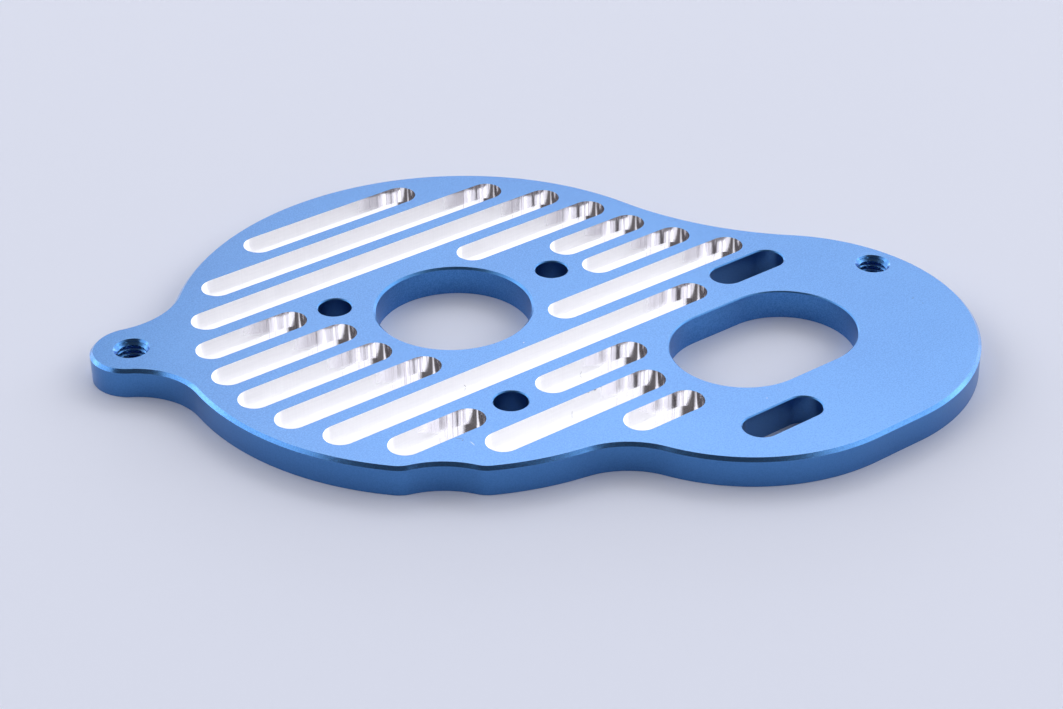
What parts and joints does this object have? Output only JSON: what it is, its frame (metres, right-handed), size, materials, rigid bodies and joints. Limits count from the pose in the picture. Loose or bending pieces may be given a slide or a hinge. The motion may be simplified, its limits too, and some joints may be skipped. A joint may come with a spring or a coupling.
{
  "type": "motor plate",
  "caption": "Flat blue machined plate with a round disc and a motor lobe, a large bore, a boss opening with screw slots beside it, and rows of straight grooves.",
  "frame": {"origin": "on the axis of the large bore, on the flat underside", "axes": "+Z out of the grooved face, +X along the grooves"},
  "size_m": [0.0701, 0.0649, 0.0028],
  "materials": {
    "motor_plate": "satin blue anodised, bare metal in the grooves"
  },
  "bodies": {
    "root": {"motor_plate": "motor_plate"}
  },
  "joints": []
}
